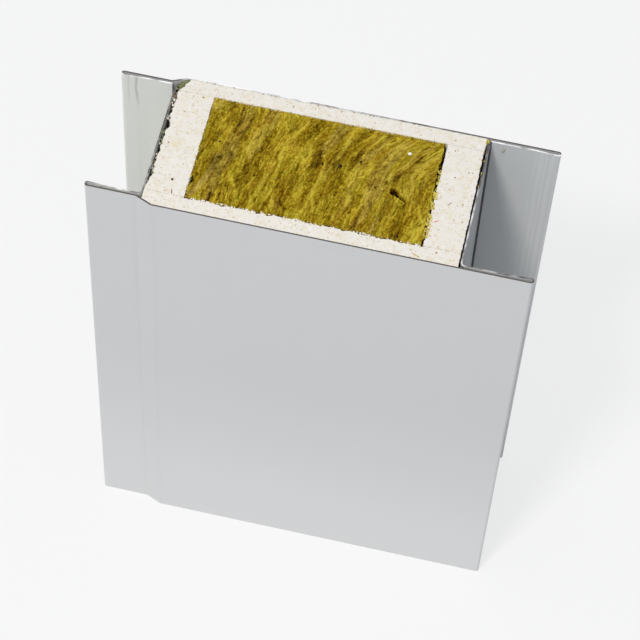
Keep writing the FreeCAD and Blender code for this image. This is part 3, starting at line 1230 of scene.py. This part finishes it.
def build_placed_lumps():
    """Tree that puts a rough lump on each point, with the point's size, turn and stain."""
    inputs = {
        "Points": (GEOMETRY, None),
        "Roundness": (INTEGER, 1),
        "Lumpiness": (FLOAT, 0.5),
        "Material": (MATERIAL, None),
    }
    tree, given, result = new_group("placed_lumps", "GeometryNodeTree", inputs, {"Lumps": GEOMETRY})
    ball = add_node(tree, "GeometryNodeMeshIcoSphere", {"Radius": 1.0, "Subdivisions": given["Roundness"]})
    shift = random_push(tree, given["Lumpiness"], {"Scale": 1.3, "Detail": 2.0})
    lump = add_node(tree, "GeometryNodeSetPosition", {0: ball.outputs[0], "Offset": shift})
    return tree, given, result, lump.outputs[0]


def build_placed_splinters():
    """Tree that lays a bent, tapered splinter on each point, with the point's size, turn and stain."""
    inputs = {"Points": (GEOMETRY, None), "Material": (MATERIAL, None)}
    tree, given, result = new_group("placed_splinters", "GeometryNodeTree", inputs, {"Splinters": GEOMETRY})
    settings = {
        "Resolution": 6,
        "Start": (-0.5, 0.0, 0.0),
        "Middle": (0.1, 0.5, 0.2),
        "End": (0.5, 0.0, 0.0),
    }
    path = add_node(tree, "GeometryNodeCurveQuadraticBezier", settings)
    place = add_node(tree, "GeometryNodeSplineParameter").outputs[0]
    taper = remap(tree, away_from(tree, place, 0.5), 0.2, 0.5, 1.0, 0.35)
    slim = add_node(tree, "GeometryNodeSetCurveRadius", {0: path.outputs[0], "Radius": taper})
    ring = add_node(tree, "GeometryNodeCurvePrimitiveCircle", {"Resolution": 6, "Radius": 0.5})
    settings = {"Curve": slim.outputs[0], "Profile Curve": ring.outputs[0], "Scale": taper, "Fill Caps": True}
    tube = add_node(tree, "GeometryNodeCurveToMesh", settings)
    return tree, given, result, tube.outputs[0]


def place_on_points(tree, given, result, shape):
    """Instances of a shape on the points, which carry size and turn."""
    smooth = add_node(tree, "GeometryNodeSetShadeSmooth", {0: shape})
    turn = add_node(tree, "FunctionNodeEulerToRotation", {0: named_value(tree, "turn", "FLOAT_VECTOR")})
    settings = {
        "Points": given["Points"],
        "Instance": smooth.outputs[0],
        "Rotation": turn.outputs[0],
        "Scale": named_value(tree, "size", "FLOAT_VECTOR"),
    }
    laid = add_node(tree, "GeometryNodeInstanceOnPoints", settings)
    finish_tree(tree, laid.outputs[0], given["Material"], result)
    return tree


placed_lumps = place_on_points(*build_placed_lumps())
placed_splinters = place_on_points(*build_placed_splinters())


def point_mesh(name, spots):
    """Mesh of points from (place, size, turn, stain), in millimetres and radians."""
    mesh = bpy.data.meshes.new(name)
    mesh.from_pydata([Vector(spot[0]) * MM for spot in spots], [], [])
    carry(mesh, "size", "FLOAT_VECTOR", "vector", [side * MM for spot in spots for side in spot[1]])
    carry(mesh, "turn", "FLOAT_VECTOR", "vector", [angle for spot in spots for angle in spot[2]])
    carry(mesh, "stain", "FLOAT_COLOR", "color", [part for spot in spots for part in (*spot[3], 1.0)])
    return mesh


def any_turn(draw):
    """Random turn about all three axes."""
    return tuple(draw.uniform(0.0, 2 * math.pi) for axis in range(3))


# Stains of the loose pieces, and the sets of them that lie together; the dark ones in the corner and rim sets
# are painted shade
cream = (0.82, 0.77, 0.68)
chalk = (0.90, 0.88, 0.84)
moss = (0.17, 0.19, 0.11)
olive = (0.20, 0.19, 0.05)
umber = (0.24, 0.14, 0.07)
sage = (0.24, 0.26, 0.14)
slate = (0.36, 0.35, 0.31)
mustard = (0.38, 0.28, 0.03)
yellow = (0.60, 0.48, 0.07)
straw = (0.66, 0.56, 0.16)
ochre = (0.50, 0.36, 0.15)
near_black = (0.025, 0.015, 0.010)
rust = (0.33, 0.15, 0.06)
red = (0.68, 0.14, 0.11)
drab = (0.48, 0.47, 0.38)
board_stains = (chalk, cream, cream)
splinter_stains = (ochre, umber, cream, cream)
male_gap_stains = (cream, cream, slate, slate, sage, moss, umber)
# Dark lumps that paint the shade in the gap at the back board's broken corner
corner_painted_shade = (moss, moss, slate, near_black)
back_stains = (moss, slate, slate, sage, umber)
tuft_stains = (yellow, yellow, straw, mustard, mustard, olive)
stuck_stains = (yellow, yellow, straw, straw, mustard)
female_gap_stains = (olive, olive, mustard, straw)
# Yellow tufts along the wool's front, with umber and near-black lumps as painted shade in its crevices
rim_stains_and_painted_crevices = (yellow, straw, mustard, mustard, umber, umber, near_black)
break_stains = (moss, moss, sage, olive)

# Cut ends: which way each faces, and its level in millimetres
top = section_height / MM
ends = ((1, top), (-1, 0.0))


def strewn(draw, count, x_range, y_range, sizes, depths, stains, gather=0.0):
    """Lumps strewn over a band of both cut ends; gather is the pitch of their clusters along the band."""
    spots = []
    for end, level in ends:
        for index in range(count):
            x = draw.uniform(*x_range)
            y = draw.uniform(*y_range)
            size = draw.uniform(*sizes)
            depth = draw.uniform(*depths)
            shape = (size, size * draw.uniform(0.8, 1.8), size)
            turn = any_turn(draw)
            stain = draw.choice(stains)
            keenness = draw.uniform(-0.45, 0.35)
            if not gather or wander(x + y, gather, 4.0 + end) > keenness:
                spots.append(((x, y, level - end * depth), shape, turn, stain))
    return spots


# Crumbs in the gap of the male edge, dark lumps of painted shade in its broken corner, crumbs as torn teeth
# along the wool,
# and behind the back board: count, range across, range through, sizes, depths, stains and the pitch of their
# clusters
crumb_bands = (
    (150, (-51.65, -50.8), (-16.5, 19.8), (0.18, 0.50), (0.45, 2.0), male_gap_stains, 2.0),
    (40, (-52.1, -51.1), (20.2, 22.4), (0.25, 0.50), (1.0, 2.2), corner_painted_shade),
    (170, (-39.0, 34.6), (-19.75, -19.2), (0.14, 0.36), (0.2, 0.5), board_stains, 1.3),
    (150, (-45.5, 46.5), (24.25, 24.7), (0.10, 0.24), (0.0, 0.3), back_stains, 4.0),
)

# Tufts stuck round the wool: two bands at its female side, then its front, with dark lumps of painted shade
# in its crevices, its back and part of its male side
tuft_bands = (
    (130, (34.5, 35.2), (1.0, 9.5), (0.12, 0.28), (0.05, 0.5), tuft_stains, 2.2),
    (560, (34.3, 35.6), (-16.5, 0.8), (0.16, 0.36), (0.05, 0.5), stuck_stains, 2.2),
    (460, (-39.1, 34.4), (-19.6, -18.95), (0.10, 0.22), (0.15, 0.7), rim_stains_and_painted_crevices, 1.1),
    (420, (-39.1, 34.4), (19.1, 19.8), (0.10, 0.22), (0.10, 0.5), tuft_stains, 1.1),
    (60, (-39.4, -38.9), (4.0, 19.4), (0.10, 0.22), (0.10, 0.5), tuft_stains, 1.1),
)

# Tufts in the female corner of the back board, and along the rest of the wool's male side
corner_tufts = (16, (46.5, 47.3), (22.8, 24.0), (0.22, 0.38), (0.0, 0.3), tuft_stains)
male_tufts = (110, (-39.5, -38.85), (-18.8, 4.0), (0.12, 0.28), (0.05, 0.45), tuft_stains, 1.3)

# Clumps of glue on the female strip's inner edge and beside its outer edge: places through the panel
strip_clumps = (8.4, 4.5, 0.1, 0.1, -3.7, -8.2, -10.9)
gap_clumps = (15.8, 10.8, 10.2, 6.1)


def scatter_crumbs():
    """Crumbs of board that the saw left in the gaps, and dark lumps of painted shade in the male corner."""
    draw = random.Random(11)
    spots = []
    for band in crumb_bands:
        spots += strewn(draw, *band)
    return spots


def corner_glue(draw):
    """Mossy glue that shows where the back board's corner has broken off."""
    spots = []
    for end, level in ends:
        for index in range(120):
            x = draw.uniform(-50.9, -48.3)
            slope = board_face / MM - (joggle_start / MM - x) * joggle_depth / joggle_run
            broken = 20.3 + (x + 51.2) * 1.15
            y = draw.uniform(max(19.6, broken), slope - 0.2)
            size = draw.uniform(0.25, 0.55)
            depth = size + 0.5 * max(0.0, -49.9 - x) + draw.uniform(0.1, 0.8)
            stain = draw.choice(break_stains)
            spots.append(((x, y, level - end * depth), (size, size, size), any_turn(draw), stain))
    return spots


def scatter_glue():
    """Glue and stuck tufts round the wool with dark lumps of painted shade along its front, in the corners
    and the female gap, and a smear on a flange.
    """
    draw = random.Random(23)
    spots = []
    for band in tuft_bands:
        spots += strewn(draw, *band)
    for y in strip_clumps:
        along = (y - 0.7, y + 0.7)
        spots += strewn(draw, 9, (34.15, 35.35), along, (0.18, 0.34), (0.0, 0.4), stuck_stains)
    spots += strewn(draw, *corner_tufts)
    for y in gap_clumps:
        along = (y - 0.5, y + 0.5)
        spots += strewn(draw, 3, (47.0, 47.25), along, (0.16, 0.30), (0.1, 0.3), female_gap_stains)
    spots += corner_glue(draw)
    spots += strewn(draw, *male_tufts)
    smear = (52.0, outer_face / MM - 1.9, top - 2.6)
    spots.append((smear, (0.35, 0.06, 1.5), (0.0, 0.15, 0.0), drab))
    return spots


# Grit in the boards and slag beads in the wool: place, size and the grit's stain
grit = (
    # The near-black grain at -44.3, -14.0 is painted shade: it fills a deep pore in place of its shadow
    (-44.3, -14.0, 0.40, near_black), (-48.8, -0.8, 0.24, umber), (43.3, 10.3, 0.24, umber),
    (44.4, 10.5, 0.26, ochre), (39.3, -21.1, 0.34, ochre), (43.8, -2.1, 0.26, ochre),
    (-46.9, 11.8, 0.22, ochre), (-14.6, 22.0, 0.28, ochre), (0.45, 23.8, 0.28, ochre),
    (39.5, 7.6, 0.22, umber), (37.7, 17.5, 0.22, umber), (46.5, 19.1, 0.30, rust),
    (34.2, -23.7, 0.26, ochre), (-42.6, 18.6, 0.26, rust), (44.8, -8.1, 0.20, umber),
)
slag_beads = (
    (-1.1, 2.9, 0.60), (4.3, 3.4, 0.75), (10.2, 6.5, 0.50), (26.6, -17.9, 0.50), (-33.7, 3.5, 0.40),
)


def list_grit():
    """Grit in the boards with a dark grain of painted shade in a pore, slag beads in the wool, and a chalk
    crumb and a rusty one that lie on it.
    """
    spots = []
    for x, y, size, stain in grit:
        spots.append(((x, y, top - 0.12), (size, size * 1.15, 0.14), (0.0, 0.0, x), stain))
    for x, y, size in slag_beads:
        spots.append(((x, y, top - 0.3), (size, size * 0.6, 0.3), (0.0, 0.0, x), near_black))
    spots.append(((24.3, 13.0, top - 0.05), (0.62, 0.55, 0.42), (0.2, 0.1, 0.6), chalk))
    spots.append(((24.35, 13.6, top + 0.05), (0.36, 0.24, 0.24), (0.0, 0.0, 0.2), rust))
    return spots


def list_splinters():
    """Wood splinters and a red thread pressed into the sawn boards, and small ones scattered over them."""
    sunk = 0.08
    clear = 0.4
    spots = []
    for x, y, size, degrees, stain in (
        (-43.45, -18.45, (1.55, 0.34, 0.22), -78.0, rust),
        (37.1, -9.85, (1.40, 0.30, 0.22), 35.0, red),
        (39.85, -2.5, (1.55, 0.22, 0.18), 53.0, umber),
        (33.0, -23.3, (1.90, 0.30, 0.18), -20.0, ochre),
    ):
        spots.append(((x, y, top - sunk), size, (0.0, 0.0, math.radians(degrees)), stain))
    draw = random.Random(37)
    for end, level in ends:
        for index in range(90):
            x = draw.uniform(-50.5, 46.3)
            y = draw.uniform(-24.2, 24.2)
            beside_wool = wool_low.x / MM - clear < x < wool_high.x / MM + clear
            if beside_wool and abs(y) < board_seam / MM + clear:
                continue
            in_cut_corner = x < -47.0 and abs(y) > 19.0
            if in_cut_corner:
                continue
            length = draw.uniform(0.35, 0.9)
            turn = (0.0, draw.uniform(-0.1, 0.1), draw.uniform(0.0, math.pi))
            size = (length, draw.uniform(0.08, 0.15), 0.12)
            spots.append(((x, y, level - end * sunk), size, turn, draw.choice(splinter_stains)))
    return spots


# Some of these lumps are painted shade: in the male corner gap, in the crevices along the wool's front and in
# a pore
for piece_name, spots, tree, roundness, material, slot in (
    ("edge_crumbs_and_painted_shade", scatter_crumbs(), placed_lumps, 1, board_crumb, "magnesium_board"),
    ("glue_beads_and_painted_crevices", scatter_glue(), placed_lumps, 1, resin_glue, "mineral_wool"),
    ("board_grit_and_pore_shade", list_grit(), placed_lumps, 2, board_crumb, "magnesium_board"),
    ("board_splinters", list_splinters(), placed_splinters, 1, board_crumb, "magnesium_board"),
):
    values = {"Roundness": roundness, "Lumpiness": 0.9, "Material": material}
    seat(grown(piece_name, point_mesh(piece_name + "_points", spots), tree, values), slot)


def add_camera():
    """Camera at the photograph's place, turned and rolled as it was."""
    data = bpy.data.cameras.new("photo_camera")
    data.sensor_width = SENSOR_WIDTH
    data.lens = SENSOR_WIDTH * focal_pixels / IMAGE_SIZE
    data.clip_start = 0.01
    made = add_object("photo_camera", data)
    level = math.cos(camera_elevation)
    back_x = math.sin(camera_azimuth) * level
    back_y = -math.cos(camera_azimuth) * level
    back = Vector((back_x, back_y, math.sin(camera_elevation)))
    right = Vector((0.0, 0.0, 1.0)).cross(back).normalized()
    up = back.cross(right)
    rolled_right = right * math.cos(camera_roll) + up * math.sin(camera_roll)
    rolled_up = up * math.cos(camera_roll) - right * math.sin(camera_roll)
    turn = Matrix((rolled_right, rolled_up, back)).transposed().to_4x4()
    made.matrix_world = Matrix.Translation(camera_place) @ turn
    bpy.context.scene.camera = made


def add_lamp(name, place, aim, width, height, power, spread):
    """Soft studio lamp that points at a place and spreads its light over an angle."""
    data = bpy.data.lights.new(name, "AREA")
    data.shape = "RECTANGLE"
    data.size = width
    data.size_y = height
    data.energy = power
    data.spread = math.radians(spread)
    data.color = lamp_tint
    heading = (aim - place).to_track_quat("-Z", "Y")
    add_object(name, data).matrix_world = Matrix.Translation(place) @ heading.to_matrix().to_4x4()


def backdrop_ray(tree):
    """One for a ray that looks at the backdrop, and nought for one that carries light."""
    path = add_node(tree, "ShaderNodeLightPath").outputs
    looks = calculate(tree, "MAXIMUM", path["Is Camera Ray"], path["Is Glossy Ray"])
    return calculate(tree, "MAXIMUM", looks, path["Is Transmission Ray"])


def build_floor(shown, share_shown):
    """Pale floor that shows almost white to the camera and keeps a soft shadow of the panel."""
    material, tree, shader = new_material("pale_floor")
    shader["Base Color"].default_value = (0.90, 0.90, 0.90, 1.0)
    shader["Roughness"].default_value = 0.9
    glow = add_node(tree, "ShaderNodeEmission", {"Strength": shown})
    share = product(tree, backdrop_ray(tree), share_shown)
    lit = tree.nodes["Principled BSDF"].outputs[0]
    mixed = add_node(tree, "ShaderNodeMixShader", {0: share, 1: lit, 2: glow.outputs[0]})
    tree.links.new(mixed.outputs[0], tree.nodes["Material Output"].inputs[0])
    mesh = bpy.data.meshes.new("floor")
    reach = floor_reach
    corners = [(-reach, -reach, 0), (reach, -reach, 0), (reach, reach, 0), (-reach, reach, 0)]
    mesh.from_pydata(corners, [], [(0, 1, 2, 3)])
    mesh.materials.append(material)
    add_object("floor", mesh)


def light_world(light, shown):
    """Even light from all round, and a pale backdrop where the view or a reflection goes past the floor."""
    world = bpy.data.worlds.new("studio")
    bpy.context.scene.world = world
    world.use_nodes = True
    tree = world.node_tree
    tree.nodes.clear()
    strength = remap(tree, backdrop_ray(tree), 0.0, 1.0, light, shown)
    tint = blend_colours(tree, backdrop_ray(tree), (0.95, 1.0, 1.055, 1.0), (1.0, 1.0, 1.0, 1.0))
    background = add_node(tree, "ShaderNodeBackground", {"Color": tint, "Strength": strength})
    output = add_node(tree, "ShaderNodeOutputWorld")
    tree.links.new(background.outputs[0], output.inputs[0])


# Light levels: the backdrop's tone, how much of the floor's look is that tone, and the fill
backdrop_tone = 0.93
backdrop_share = 0.8
fill_light = 0.52
floor_reach = 3.0
lamp_tint = (1.0, 0.98, 0.945)

# The key lamp hangs over the front on the male side, and a low strip lamp brightens the foot of the front
top_middle = Vector((0.0, 0.0, section_height))
key_place = top_middle + Vector((-0.375, -0.9, 1.5))
foot_middle = Vector((0.0, 0.0, 0.008))
strip_place = foot_middle + Vector((0.0, -0.325, 0.0))

add_camera()
build_floor(backdrop_tone, backdrop_share)
light_world(fill_light, backdrop_tone)
add_lamp("key", key_place, top_middle, width=0.3, height=0.3, power=21.5, spread=180.0)
add_lamp("low_front", strip_place, foot_middle, width=0.5, height=0.01, power=0.024, spread=36.0)
bpy.context.scene.view_settings.view_transform = "Standard"
